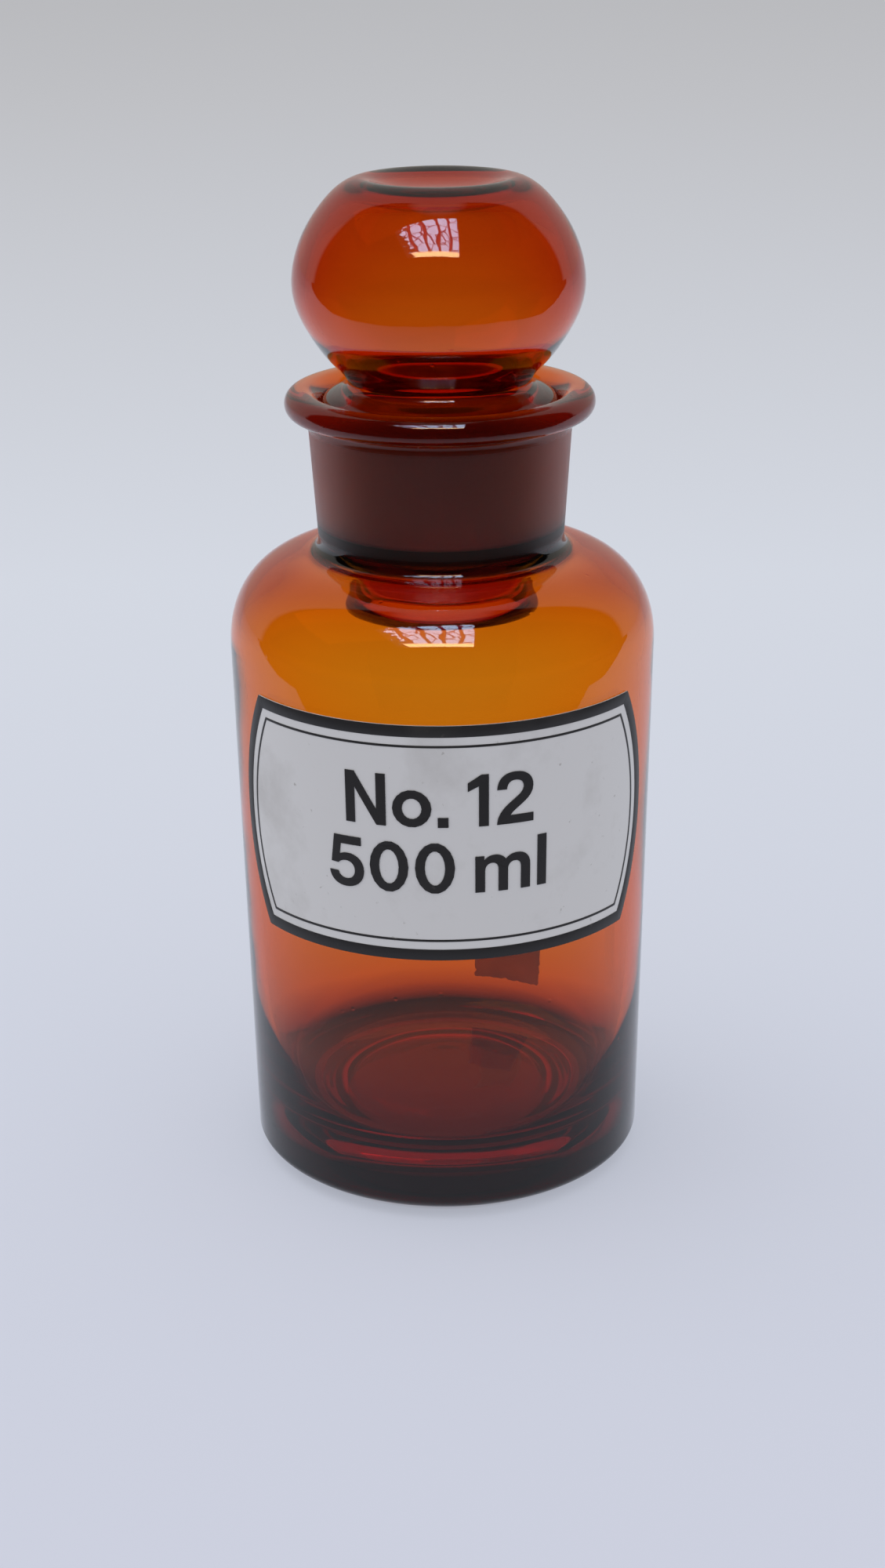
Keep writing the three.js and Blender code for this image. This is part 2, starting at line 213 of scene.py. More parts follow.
# ---------------------------------------------------------------- stopper
PLUG_GAP = 0.3
PLUG_TOP_Z, PLUG_FOOT_Z = 165.4, 134.6


def plug_radius(height):
    slope = (BORE_TOP_R - BORE_LOW_R) / (BORE_TOP_Z - BORE_LOW_Z)
    return BORE_LOW_R + slope * (height - BORE_LOW_Z) - PLUG_GAP


def stopper_profile():
    """Once round the stopper's section: from the dish, down the outside to the plug's rim, up the inside."""
    globe = smooth_line([(0, 207.3), (6, 207.5), (11.4, 208.9), (15.4, 210.0), (19.2, 208.7), (23.0, 205.2),
                         (26.4, 200.3), (28.7, 194.6), (29.4, 189.0), (28.5, 184.4), (25.7, 178.9),
                         (22.2, 174.2), (19.4, 171.2), (18.6, 169.9)], 90)
    collar = smooth_line([(18.6, 169.9), (19.0, 169.0), (20.6, 168.1), (22.6, 167.3), (23.5, 166.5),
                          (plug_radius(PLUG_TOP_Z), PLUG_TOP_Z)], 18)
    plug = straight_line((plug_radius(PLUG_TOP_Z), PLUG_TOP_Z), (plug_radius(PLUG_FOOT_Z), PLUG_FOOT_Z), 16)
    rim = smooth_line([(plug_radius(PLUG_FOOT_Z), PLUG_FOOT_Z), (21.7, 133.2), (20.5, 132.1), (19.3, 131.0),
                       (18.1, 129.4), (17.3, 128.0), (17.4, 126.9), (18.6, 126.2), (19.5, 125.4),
                       (19.5, 124.4), (18.6, 123.7), (17.2, 123.6), (15.7, 124.2), (14.8, 125.6),
                       (14.6, 127.6), (15.4, 130.4), (17.2, 133.6), (18.7, 136.6), (19.4, 140.0)], 60)
    hollow_plug = smooth_line([(19.4, 140.0), (19.75, 146.0), (20.2, 153.0), (20.6, 160.0), (20.3, 163.0),
                               (18.7, 165.6), (16.9, 167.6), (15.9, 169.8), (16.8, 171.9), (19.2, 174.6),
                               (22.4, 178.2), (25.3, 182.8), (26.6, 188.4), (25.7, 194.0), (23.5, 199.4),
                               (20.6, 203.4), (17.6, 206.0), (15.2, 206.6), (12.2, 205.7), (8.0, 204.4),
                               (0, 204.1)], 120)
    return joined(globe, collar, plug, rim, hollow_plug)


stopper = spin_round_axis("globe_stopper", stopper_profile())
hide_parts("stopper")
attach(stopper, "stopper_body")


# ---------------------------------------------------------------- label and paper
LABEL_LOW_Z, LABEL_TOP_Z = 60.5, 111.0
LABEL_CORNER_ANGLE, LABEL_SIDE_ANGLE = math.radians(57.8), math.radians(67.5)
LABEL_MIDDLE_Z = 0.5 * (LABEL_LOW_Z + LABEL_TOP_Z)
BORDER_WIDTH, LINE_INSET, LINE_WIDTH = 2.4, 4.1, 0.5
FIELD_LIFT, FIELD_THICK = 0.03, 0.30
INK_THICK = 0.07
SCRAP_WIDE, SCRAP_TALL, SCRAP_MIDDLE_Z = 18.4, 28.4, 31.5
ROLL_RADIUS = body_radius(LABEL_MIDDLE_Z)


def label_half_width(height):
    """Half the label's width round the body, at a height: the sides bow outwards."""
    t = (height - LABEL_MIDDLE_Z) / (0.5 * (LABEL_TOP_Z - LABEL_LOW_Z))
    return ROLL_RADIUS * (LABEL_CORNER_ANGLE + (LABEL_SIDE_ANGLE - LABEL_CORNER_ANGLE) * (1 - t * t))


def roll_onto_body(sheet, lift, thick, turn=0.0):
    """Bends a flat sheet round the body, lays it on the glass and gives it its thickness."""
    take(sheet)
    wide = max(v.co.x for v in sheet.data.vertices) - min(v.co.x for v in sheet.data.vertices)
    apply_modifier(sheet, "SIMPLE_DEFORM", deform_method="BEND", deform_axis="Z",
                   angle=wide / (ROLL_RADIUS * MM))
    bpy.ops.object.mode_set(mode="EDIT")
    bpy.ops.mesh.select_all(action="SELECT")
    bpy.ops.transform.translate(value=(0, -(ROLL_RADIUS + 1.0) * MM, 0))
    bpy.ops.object.mode_set(mode="OBJECT")
    if turn:
        sheet.rotation_euler = (0, 0, turn)
        bpy.ops.object.transform_apply(location=False, rotation=True, scale=False)
    apply_modifier(sheet, "SHRINKWRAP", target=bottle, wrap_method="NEAREST_SURFACEPOINT",
                   wrap_mode="ABOVE_SURFACE", offset=lift * MM)
    out = sum((p.normal.dot(Vector((p.center.x, p.center.y, 0)).normalized()) for p in sheet.data.polygons))
    apply_modifier(sheet, "SOLIDIFY", thickness=thick * MM, offset=1.0 if out > 0 else -1.0)
    apply_modifier(sheet, "BEVEL", width=0.22 * thick * MM, segments=2, limit_method="ANGLE",
                   angle_limit=math.radians(50))
    bpy.ops.object.mode_set(mode="EDIT")
    bpy.ops.mesh.select_all(action="SELECT")
    bpy.ops.mesh.normals_make_consistent(inside=False)
    bpy.ops.object.mode_set(mode="OBJECT")
    bpy.ops.object.shade_smooth_by_angle(angle=math.radians(35))


def enamel_field():
    """The white ground: a flat grid whose rows are stretched to the label's bowed sides."""
    put_down_everything()
    tall, rows = LABEL_TOP_Z - LABEL_LOW_Z, 36
    bpy.ops.mesh.primitive_grid_add(x_subdivisions=108, y_subdivisions=rows, size=MM, enter_editmode=True,
                                    location=(0, 0, LABEL_MIDDLE_Z * MM), rotation=(math.pi / 2, 0, 0))
    piece = name_piece("enamel_field")
    bpy.ops.object.mode_set(mode="OBJECT")
    bpy.ops.object.transform_apply(location=True, rotation=True, scale=True)
    bpy.ops.object.mode_set(mode="EDIT")
    middle = (0, 0, LABEL_MIDDLE_Z * MM)
    bpy.ops.mesh.select_all(action="SELECT")
    bpy.ops.transform.resize(value=(2.0, 1, tall), center_override=middle)
    for row in range(rows + 1):
        height = LABEL_LOW_Z + tall * row / rows
        pick_vertices(piece, lambda co: abs(co.z - height * MM) < 0.2 * MM)
        bpy.ops.transform.resize(value=(label_half_width(height), 1, 1), center_override=(0, 0, height * MM))
    bpy.ops.object.mode_set(mode="OBJECT")
    return piece


def label_outline(name, inset):
    """A wire along the label's edge, set in from it by a distance."""
    across, up = 90, 30
    slope = 8 * ROLL_RADIUS * (LABEL_SIDE_ANGLE - LABEL_CORNER_ANGLE) / (LABEL_TOP_Z - LABEL_LOW_Z) ** 2
    low_z, top_z = LABEL_LOW_Z + inset, LABEL_TOP_Z - inset

    def half(height):
        return label_half_width(height) - inset * math.hypot(1.0, slope * (height - LABEL_MIDDLE_Z))

    outline = []
    for i in range(across):
        outline.append((half(low_z) * (2 * i / across - 1), low_z))
    for i in range(up):
        height = low_z + (top_z - low_z) * i / up
        outline.append((half(height), height))
    for i in range(across):
        outline.append((half(top_z) * (1 - 2 * i / across), top_z))
    for i in range(up):
        height = top_z - (top_z - low_z) * i / up
        outline.append((-half(height), height))
    wire_piece = trace(name, outline)
    bpy.ops.mesh.select_all(action="DESELECT")
    bpy.ops.object.mode_set(mode="OBJECT")
    for vertex in (wire_piece.data.vertices[0], wire_piece.data.vertices[-1]):
        vertex.select = True
    bpy.ops.object.mode_set(mode="EDIT")
    bpy.ops.mesh.edge_face_add()
    bpy.ops.object.mode_set(mode="OBJECT")
    return wire_piece


def enamel_band(name, inset, width):
    """A printed band that follows the label's edge: two wires, bridged."""
    inner = label_outline(name + "_inner", inset + width)
    outer = label_outline(name, inset)
    take(outer)
    inner.select_set(True)
    bpy.ops.object.join()
    bpy.ops.object.mode_set(mode="EDIT")
    bpy.ops.mesh.select_all(action="SELECT")
    bpy.ops.mesh.bridge_edge_loops()
    bpy.ops.object.mode_set(mode="OBJECT")
    return outer


def paper_scrap():
    """What is left of a paper label on the back: a torn oblong."""
    put_down_everything()
    bpy.ops.mesh.primitive_grid_add(x_subdivisions=26, y_subdivisions=38, size=MM, enter_editmode=True,
                                    location=(0, 0, SCRAP_MIDDLE_Z * MM), rotation=(math.pi / 2, 0, 0))
    piece = name_piece("paper_scrap")
    bpy.ops.object.mode_set(mode="OBJECT")
    bpy.ops.object.transform_apply(location=True, rotation=True, scale=True)
    bpy.ops.object.mode_set(mode="EDIT")
    bpy.ops.mesh.select_all(action="SELECT")
    bpy.ops.transform.resize(value=(SCRAP_WIDE, 1, SCRAP_TALL), center_override=(0, 0, SCRAP_MIDDLE_Z * MM))
    bpy.ops.mesh.region_to_loop()
    bpy.ops.transform.vertex_random(offset=0.42 * MM, seed=4)
    bpy.ops.object.mode_set(mode="OBJECT")
    return piece


field = enamel_field()
border = enamel_band("enamel_border", 0.0, BORDER_WIDTH)
thin_line = enamel_band("enamel_thin_line", LINE_INSET, LINE_WIDTH)
scrap = paper_scrap()
roll_onto_body(field, FIELD_LIFT, FIELD_THICK)
roll_onto_body(border, FIELD_LIFT + FIELD_THICK + 0.01, INK_THICK)
roll_onto_body(thin_line, FIELD_LIFT + FIELD_THICK + 0.01, INK_THICK)
roll_onto_body(scrap, 0.04, 0.14, math.radians(158.0))
for piece, node, slot in ((field, "label_ground", "white_enamel"), (border, "label_border", "black_enamel"),
                          (thin_line, "label_line", "black_enamel"), (scrap, "back_sticker", "brown_paper")):
    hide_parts(node)
    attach(piece, "bottle_body")


# ---------------------------------------------------------------- shader groups
def new_group(name, inputs, outputs):
    """An empty shader group with its sockets. Each socket is (name, kind, starting value)."""
    group = bpy.data.node_groups.new(name, "ShaderNodeTree")
    for socket_name, kind, value in inputs:
        socket = group.interface.new_socket(socket_name, in_out="INPUT", socket_type=kind)
        if value is not None:
            socket.default_value = value
    for socket_name, kind in outputs:
        group.interface.new_socket(socket_name, in_out="OUTPUT", socket_type=kind)
    return group, group.nodes.new("NodeGroupInput"), group.nodes.new("NodeGroupOutput")


def wire(tree, source, target):
    tree.links.new(source, target)


def math_node(tree, operation, first, second=0.0, clamp=False):
    """A Math node; its inputs are sockets or numbers."""
    node = tree.nodes.new("ShaderNodeMath")
    node.operation = operation
    node.use_clamp = clamp
    for slot, value in enumerate((first, second)):
        if isinstance(value, (int, float)):
            node.inputs[slot].default_value = value
        else:
            wire(tree, value, node.inputs[slot])
    return node.outputs[0]


def band(tree, value, low, high, soft):
    """1 where low < value < high, falling to 0 over a soft edge."""
    rise = math_node(tree, "DIVIDE", math_node(tree, "SUBTRACT", value, low), soft, True)
    fall = math_node(tree, "DIVIDE", math_node(tree, "SUBTRACT", high, value), soft, True)
    return math_node(tree, "MULTIPLY", rise, fall)


def height_band_group():
    """Mask of a band round the bottle's axis, between two radii and two heights."""
    group, entry, result = new_group(
        "band round the axis",
        [("Inner radius", "NodeSocketFloat", 0.0216), ("Outer radius", "NodeSocketFloat", 0.0249),
         ("Low", "NodeSocketFloat", 0.13), ("High", "NodeSocketFloat", 0.16),
         ("Soft", "NodeSocketFloat", 0.0006)],
        [("Mask", "NodeSocketFloat")])
    place = group.nodes.new("ShaderNodeTexCoord")
    split = group.nodes.new("ShaderNodeSeparateXYZ")
    wire(group, place.outputs["Object"], split.inputs[0])
    across = math_node(group, "SQRT", math_node(
        group, "ADD", math_node(group, "MULTIPLY", split.outputs[0], split.outputs[0]),
        math_node(group, "MULTIPLY", split.outputs[1], split.outputs[1])))
    near = band(group, across, entry.outputs["Inner radius"], entry.outputs["Outer radius"], 0.2 * MM)
    tall = band(group, split.outputs[2], entry.outputs["Low"], entry.outputs["High"], entry.outputs["Soft"])
    wire(group, math_node(group, "MULTIPLY", near, tall), result.inputs["Mask"])
    return group


def blown_glass_group():
    """Height of the gentle waves and small seeds of moulded, blown glass."""
    group, entry, result = new_group(
        "blown glass skin",
        [("Wave size", "NodeSocketFloat", 22.0), ("Seed size", "NodeSocketFloat", 260.0)],
        [("Height", "NodeSocketFloat")])
    place = group.nodes.new("ShaderNodeTexCoord")
    waves = group.nodes.new("ShaderNodeTexNoise")
    waves.inputs["Detail"].default_value = 2.0
    wire(group, place.outputs["Object"], waves.inputs["Vector"])
    wire(group, entry.outputs["Wave size"], waves.inputs["Scale"])
    seeds = group.nodes.new("ShaderNodeTexVoronoi")
    wire(group, place.outputs["Object"], seeds.inputs["Vector"])
    wire(group, entry.outputs["Seed size"], seeds.inputs["Scale"])
    spot = math_node(group, "SUBTRACT", 0.10, seeds.outputs["Distance"], True)
    spot = math_node(group, "MULTIPLY", spot, 0.6)
    wire(group, math_node(group, "ADD", waves.outputs[0], spot), result.inputs["Height"])
    return group


def handling_group():
    """Masks of finger smears and settled dust on a piece that has been handled and stored."""
    group, entry, result = new_group(
        "handling marks",
        [("Smear size", "NodeSocketFloat", 55.0), ("Speck size", "NodeSocketFloat", 900.0)],
        [("Smears", "NodeSocketFloat"), ("Specks", "NodeSocketFloat")])
    place = group.nodes.new("ShaderNodeTexCoord")
    smear = group.nodes.new("ShaderNodeTexNoise")
    smear.inputs["Detail"].default_value = 6.0
    smear.inputs["Roughness"].default_value = 0.62
    wire(group, place.outputs["Object"], smear.inputs["Vector"])
    wire(group, entry.outputs["Smear size"], smear.inputs["Scale"])
    ramp = group.nodes.new("ShaderNodeMapRange")
    ramp.inputs["From Min"].default_value = 0.50
    ramp.inputs["From Max"].default_value = 0.72
    wire(group, smear.outputs[0], ramp.inputs["Value"])
    wire(group, ramp.outputs[0], result.inputs["Smears"])
    speck = group.nodes.new("ShaderNodeTexNoise")
    speck.inputs["Detail"].default_value = 3.0
    wire(group, place.outputs["Object"], speck.inputs["Vector"])
    wire(group, entry.outputs["Speck size"], speck.inputs["Scale"])
    cut = group.nodes.new("ShaderNodeMapRange")
    cut.inputs["From Min"].default_value = 0.70
    cut.inputs["From Max"].default_value = 0.78
    wire(group, speck.outputs[0], cut.inputs["Value"])
    wire(group, cut.outputs[0], result.inputs["Specks"])
    return group


AXIS_BAND = height_band_group()
GLASS_SKIN = blown_glass_group()
HANDLING = handling_group()


# ---------------------------------------------------------------- materials
def new_material(name):
    """A node material with just its Principled shader and output."""
    material = bpy.data.materials.new(name)
    material.use_nodes = True
    tree = material.node_tree
    shader = tree.nodes["Principled BSDF"]
    return material, tree, shader


def place_group(tree, group, **values):
    node = tree.nodes.new("ShaderNodeGroup")
    node.node_tree = group
    for name, value in values.items():
        node.inputs[name.replace("_", " ")].default_value = value
    return node


def mix_colour(tree, amount, first, second, blend="MIX"):
    """A colour mix; first and second are colours or sockets."""
    node = tree.nodes.new("ShaderNodeMix")
    node.data_type = "RGBA"
    node.blend_type = blend
    if isinstance(amount, (int, float)):
        node.inputs[0].default_value = amount
    else:
        wire(tree, amount, node.inputs[0])
    for slot, value in ((6, first), (7, second)):
        if isinstance(value, tuple):
            node.inputs[slot].default_value = (*value, 1.0)
        else:
            wire(tree, value, node.inputs[slot])
    return node.outputs[2]


def ring_zone(tree, radii, heights, soft):
    """A mask round the axis between two radii and two heights, all in millimetres."""
    zone = place_group(tree, AXIS_BAND, Inner_radius=radii[0] * MM, Outer_radius=radii[1] * MM,
                       Low=heights[0] * MM, High=heights[1] * MM, Soft=soft * MM)
    return zone.outputs["Mask"]


# painted shade: the ground joint's glass is tinted dark, standing in for the light lost between the plug and
# the bore
GROUND_PAINTED_SHADE = (0.30, 0.20, 0.20)
# painted shade: the neck's root and the heel are tinted nearly black, standing in for the dark surroundings
# seen through the glass there
ROOT_PAINTED_SHADE, HEEL_PAINTED_SHADE = (0.01, 0.02, 0.02), (0.004, 0.02, 0.03)
WAVE_DEPTH = 0.0006


def amber_glass(name, absorbed, density):
    """Clear amber glass, matt where it is ground, tinted by the depth that light crosses, with painted shade
    in the ground joint, at the neck's root and at the heel.
    """
    material, tree, shader = new_material(name)
    shader.inputs["Transmission Weight"].default_value = 1.0
    shader.inputs["IOR"].default_value = 1.52
    ground = ring_zone(tree, (21.6, 24.9), (136.6, 165.9), 0.8)
    neck = ring_zone(tree, (25.1, 27.6), (137.4, 161.4), 1.6)
    root = ring_zone(tree, (24.9, 27.3), (134.6, 141.4), 0.8)
    heel = ring_zone(tree, (33.0, 43.5), (-6.0, 15.5), 5.5)
    marks = place_group(tree, HANDLING, Smear_size=38.0, Speck_size=700.0)
    skin = place_group(tree, GLASS_SKIN, Wave_size=26.0, Seed_size=210.0)
    smeared = math_node(tree, "MULTIPLY", marks.outputs["Smears"], 0.05)
    matt = math_node(tree, "MULTIPLY", ground, 0.55)
    satin = math_node(tree, "MULTIPLY", neck, 0.36)
    worked = math_node(tree, "ADD", matt, math_node(tree, "ADD", satin, 0.012))
    wire(tree, math_node(tree, "ADD", smeared, worked), shader.inputs["Roughness"])
    # painted shade: the ground joint is tinted dark, and the glass round the neck's root and the heel nearly
    # black, in place of the dark surroundings seen through the glass there
    painted_shade_colour = mix_colour(tree, ground, (1.0, 1.0, 1.0), GROUND_PAINTED_SHADE)
    painted_shade_colour = mix_colour(tree, root, painted_shade_colour, ROOT_PAINTED_SHADE)
    painted_shade_colour = mix_colour(tree, heel, painted_shade_colour, HEEL_PAINTED_SHADE)
    wire(tree, painted_shade_colour, shader.inputs["Base Color"])
    bump = tree.nodes.new("ShaderNodeBump")
    bump.inputs["Strength"].default_value = 0.35
    bump.inputs["Distance"].default_value = WAVE_DEPTH
    wire(tree, skin.outputs["Height"], bump.inputs["Height"])
    wire(tree, bump.outputs["Normal"], shader.inputs["Normal"])
    depth = tree.nodes.new("ShaderNodeVolumeAbsorption")
    depth.inputs["Color"].default_value = (*absorbed, 1.0)
    depth.inputs["Density"].default_value = density
    wire(tree, depth.outputs[0], tree.nodes["Material Output"].inputs["Volume"])
    return material


def enamel(name, clean, worn, rough):
    """Fired enamel: satin, faintly uneven, with scuffs and specks of dirt."""
    material, tree, shader = new_material(name)
    marks = place_group(tree, HANDLING, Smear_size=42.0, Speck_size=620.0)
    dirt = math_node(tree, "MULTIPLY", marks.outputs["Smears"], 0.26)
    spots = math_node(tree, "MULTIPLY", marks.outputs["Specks"], 0.55)
    base = mix_colour(tree, dirt, clean, worn)
    wire(tree, mix_colour(tree, spots, base, worn), shader.inputs["Base Color"])
    wire(tree, math_node(tree, "ADD", math_node(tree, "MULTIPLY", marks.outputs["Smears"], 0.12), rough),
         shader.inputs["Roughness"])
    shader.inputs["Specular IOR Level"].default_value = 0.35
    grain = tree.nodes.new("ShaderNodeTexNoise")
    grain.inputs["Scale"].default_value = 1400.0
    place = tree.nodes.new("ShaderNodeTexCoord")
    wire(tree, place.outputs["Object"], grain.inputs["Vector"])
    bump = tree.nodes.new("ShaderNodeBump")
    bump.inputs["Strength"].default_value = 0.25
    bump.inputs["Distance"].default_value = 0.00004
    wire(tree, grain.outputs[0], bump.inputs["Height"])
    wire(tree, bump.outputs["Normal"], shader.inputs["Normal"])
    return material


def aged_paper(name):
    """Brown, foxed label paper with its fibres."""
    material, tree, shader = new_material(name)
    place = tree.nodes.new("ShaderNodeTexCoord")
    stain = tree.nodes.new("ShaderNodeTexNoise")
    stain.inputs["Scale"].default_value = 160.0
    stain.inputs["Detail"].default_value = 8.0
    wire(tree, place.outputs["Object"], stain.inputs["Vector"])
    foxed = mix_colour(tree, stain.outputs[0], (0.60, 0.45, 0.29), (0.90, 0.77, 0.57))
    wire(tree, foxed, shader.inputs["Base Color"])
    shader.inputs["Roughness"].default_value = 0.9
    shader.inputs["Transmission Weight"].default_value = 0.5  # thin paper lets some daylight through
    fibre = tree.nodes.new("ShaderNodeTexNoise")
    fibre.inputs["Scale"].default_value = 2200.0
    fibre.inputs["Detail"].default_value = 4.0
    wire(tree, place.outputs["Object"], fibre.inputs["Vector"])
    bump = tree.nodes.new("ShaderNodeBump")
    bump.inputs["Strength"].default_value = 0.5
    bump.inputs["Distance"].default_value = 0.00008
    wire(tree, fibre.outputs[0], bump.inputs["Height"])
    wire(tree, bump.outputs["Normal"], shader.inputs["Normal"])
    return material


def finish_with(piece, material):
    """Gives the whole piece one material."""
    piece.data.materials.clear()
    piece.data.materials.append(material)


bottle_glass = amber_glass("amber bottle glass", (0.972, 0.733, 0.0), 1050.0)
stopper_glass = amber_glass("amber stopper glass", (0.952, 0.665, 0.0), 1320.0)
white_enamel = enamel("white label enamel", (0.56, 0.555, 0.56), (0.20, 0.18, 0.16), 0.34)
black_enamel = enamel("black label enamel", (0.018, 0.017, 0.018), (0.06, 0.055, 0.05), 0.38)
finish_with(bottle, bottle_glass)
finish_with(stopper, stopper_glass)
finish_with(field, white_enamel)
finish_with(border, black_enamel)
finish_with(thin_line, black_enamel)
finish_with(scrap, aged_paper("brown label paper"))
for node in ("letter_n", "letter_o", "letter_stop", "number_1", "number_2", "capacity_5", "capacity_0_left",
             "capacity_0_right", "capacity_m", "capacity_l"):
    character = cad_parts[node]
    for slot in character.material_slots:
        slot.material = black_enamel


# ---------------------------------------------------------------- studio
def plain_floor():
    """A pale sheet with painted light: brightest under the bottle and greyer far behind it, with a painted
    shadow at the bottle and a glow of its own.
    """
    put_down_everything()
    bpy.ops.mesh.primitive_plane_add(size=24.0, location=(0, 0, -0.00006))
    floor = name_piece("studio_floor")
    material, tree, shader = new_material("pale studio paper")
    place = tree.nodes.new("ShaderNodeTexCoord")
    split = tree.nodes.new("ShaderNodeSeparateXYZ")
    wire(tree, place.outputs["Object"], split.inputs[0])
    # painted light: the floor's own colour is brightest round the bottle and darker near the front edge and
    # far behind, for the fall of light across the sheet
    ramp = tree.nodes.new("ShaderNodeValToRGB")
    # the distance behind the near edge, y + 0.3, is squeezed into 0 to 1: d / (|d| + 0.6)
    ahead = math_node(tree, "ADD", split.outputs[1], 0.3)
    span = math_node(tree, "ADD", math_node(tree, "ABSOLUTE", ahead), 0.6)
    share = math_node(tree, "DIVIDE", ahead, span, True)
    wire(tree, share, ramp.inputs[0])
    stops = ((0.0, (0.555, 0.57, 0.675)), (0.35, (0.59, 0.62, 0.715)), (0.55, (0.61, 0.64, 0.71)),
             (0.80, (0.50, 0.505, 0.53)), (1.0, (0.41, 0.41, 0.42)))
    bar = ramp.color_ramp
    while len(bar.elements) < len(stops):
        bar.elements.new(0.5)
    for element, (where, colour) in zip(bar.elements, stops):
        element.position = where
        element.color = (*colour, 1.0)
    beside = math_node(tree, "SQRT", math_node(
        tree, "ADD", math_node(tree, "MULTIPLY", split.outputs[0], split.outputs[0]),
        math_node(tree, "MULTIPLY", split.outputs[1], split.outputs[1])))
    # painted shadow: the floor under the bottle, and where seen through the glass also just behind it, is
    # painted a dark amber shadow
    path = tree.nodes.new("ShaderNodeLightPath")
    under = math_node(tree, "DIVIDE", math_node(tree, "SUBTRACT", beside, 32 * MM), 6 * MM, True)
    behind = math_node(tree, "DIVIDE", math_node(tree, "SUBTRACT", beside, 43 * MM), 30 * MM, True)
    clear = math_node(tree, "MULTIPLY", under, math_node(tree, "MAXIMUM", behind, math_node(
        tree, "SUBTRACT", 1.0, path.outputs["Is Transmission Ray"])))
    shaded = mix_colour(tree, clear, (0.11, 0.02, 0.006), ramp.outputs[0])
    # painted shade: in reflections the floor is darkened towards the unlit room in front
    fall = math_node(tree, "DIVIDE", math_node(tree, "ADD", split.outputs[1], 0.30), 0.30, True)
    fall = math_node(tree, "ADD", math_node(tree, "MULTIPLY", fall, 0.7), 0.3)
    fall = math_node(tree, "MAXIMUM", fall, math_node(tree, "SUBTRACT", 1.0, path.outputs["Is Glossy Ray"]))
    grey = tree.nodes.new("ShaderNodeCombineXYZ")
    for channel in range(3):
        wire(tree, fall, grey.inputs[channel])
    shaded = mix_colour(tree, 1.0, shaded, grey.outputs[0], "MULTIPLY")
    # painted light: the floor also glows with its own colour, so that shadows on it are only about half as
    # deep
    wire(tree, mix_colour(tree, 1.0, shaded, (0.42, 0.42, 0.42), "MULTIPLY"), shader.inputs["Base Color"])
    wire(tree, shaded, shader.inputs["Emission Color"])
    shader.inputs["Emission Strength"].default_value = 0.61
    shader.inputs["Roughness"].default_value = 0.9
    shader.inputs["Specular IOR Level"].default_value = 0.0
    finish_with(floor, material)


def studio_world():
    """Soft light from all round. In mirror reflections the side that faces the label is an unlit room."""
    world = bpy.data.worlds.new("soft studio")
    bpy.context.scene.world = world
    world.use_nodes = True
    tree = world.node_tree
    bright = tree.nodes["Background"]
    bright.inputs["Color"].default_value = (1.0, 1.0, 1.0, 1.0)
    bright.inputs["Strength"].default_value = 1.0
    seen = tree.nodes.new("ShaderNodeBackground")
    seen.inputs["Color"].default_value = (0.50, 0.50, 0.51, 1.0)
    dark = tree.nodes.new("ShaderNodeBackground")
    dark.inputs["Color"].default_value = (0.02, 0.017, 0.016, 1.0)
    mirror = tree.nodes.new("ShaderNodeBackground")
    mirror.inputs["Color"].default_value = (0.48, 0.46, 0.43, 1.0)
    place = tree.nodes.new("ShaderNodeTexCoord")
    split = tree.nodes.new("ShaderNodeSeparateXYZ")
    wire(tree, place.outputs["Generated"], split.inputs[0])
    # how far a direction leans towards the label's side, from -1 to 1, whatever its height
    flat = math_node(tree, "SQRT", math_node(
        tree, "ADD", math_node(tree, "MULTIPLY", split.outputs[0], split.outputs[0]),
        math_node(tree, "MULTIPLY", split.outputs[1], split.outputs[1])))
    lean = math_node(tree, "DIVIDE", math_node(tree, "MULTIPLY", split.outputs[1], -1.0),
                     math_node(tree, "MAXIMUM", flat, 0.001))
    fore = math_node(tree, "DIVIDE", math_node(tree, "SUBTRACT", lean, -0.42), 0.06, True)
    under_top = math_node(tree, "DIVIDE", math_node(tree, "SUBTRACT", 0.985, split.outputs[2]), 0.03, True)
    room = math_node(tree, "MULTIPLY", fore, under_top)
    reflected = tree.nodes.new("ShaderNodeMixShader")
    wire(tree, room, reflected.inputs[0])
    wire(tree, mirror.outputs[0], reflected.inputs[1])
    wire(tree, dark.outputs[0], reflected.inputs[2])
    # through the glass a plain wall shows low down, and the unlit room only well above the horizon
    raised = math_node(tree, "DIVIDE", math_node(tree, "SUBTRACT", split.outputs[2], 0.16), 0.08, True)
    wall = tree.nodes.new("ShaderNodeBackground")
    wall.inputs["Color"].default_value = (0.42, 0.37, 0.34, 1.0)
    refracted = tree.nodes.new("ShaderNodeMixShader")
    wire(tree, math_node(tree, "MULTIPLY", room, raised), refracted.inputs[0])
    wire(tree, wall.outputs[0], refracted.inputs[1])
    wire(tree, dark.outputs[0], refracted.inputs[2])
    path = tree.nodes.new("ShaderNodeLightPath")
    by_mirror = tree.nodes.new("ShaderNodeMixShader")
    wire(tree, path.outputs["Is Glossy Ray"], by_mirror.inputs[0])
    wire(tree, bright.outputs[0], by_mirror.inputs[1])
    wire(tree, reflected.outputs[0], by_mirror.inputs[2])
    by_glass = tree.nodes.new("ShaderNodeMixShader")
    wire(tree, path.outputs["Is Transmission Ray"], by_glass.inputs[0])
    wire(tree, by_mirror.outputs[0], by_glass.inputs[1])
    wire(tree, refracted.outputs[0], by_glass.inputs[2])
    by_camera = tree.nodes.new("ShaderNodeMixShader")
    wire(tree, path.outputs["Is Camera Ray"], by_camera.inputs[0])
    wire(tree, by_glass.outputs[0], by_camera.inputs[1])
    wire(tree, seen.outputs[0], by_camera.inputs[2])
    wire(tree, by_camera.outputs[0], tree.nodes["World Output"].inputs["Surface"])


def only_in_reflections(card):
    card.visible_camera = False
    card.visible_diffuse = False
    card.visible_transmission = False
    card.visible_volume_scatter = False
    card.visible_shadow = False


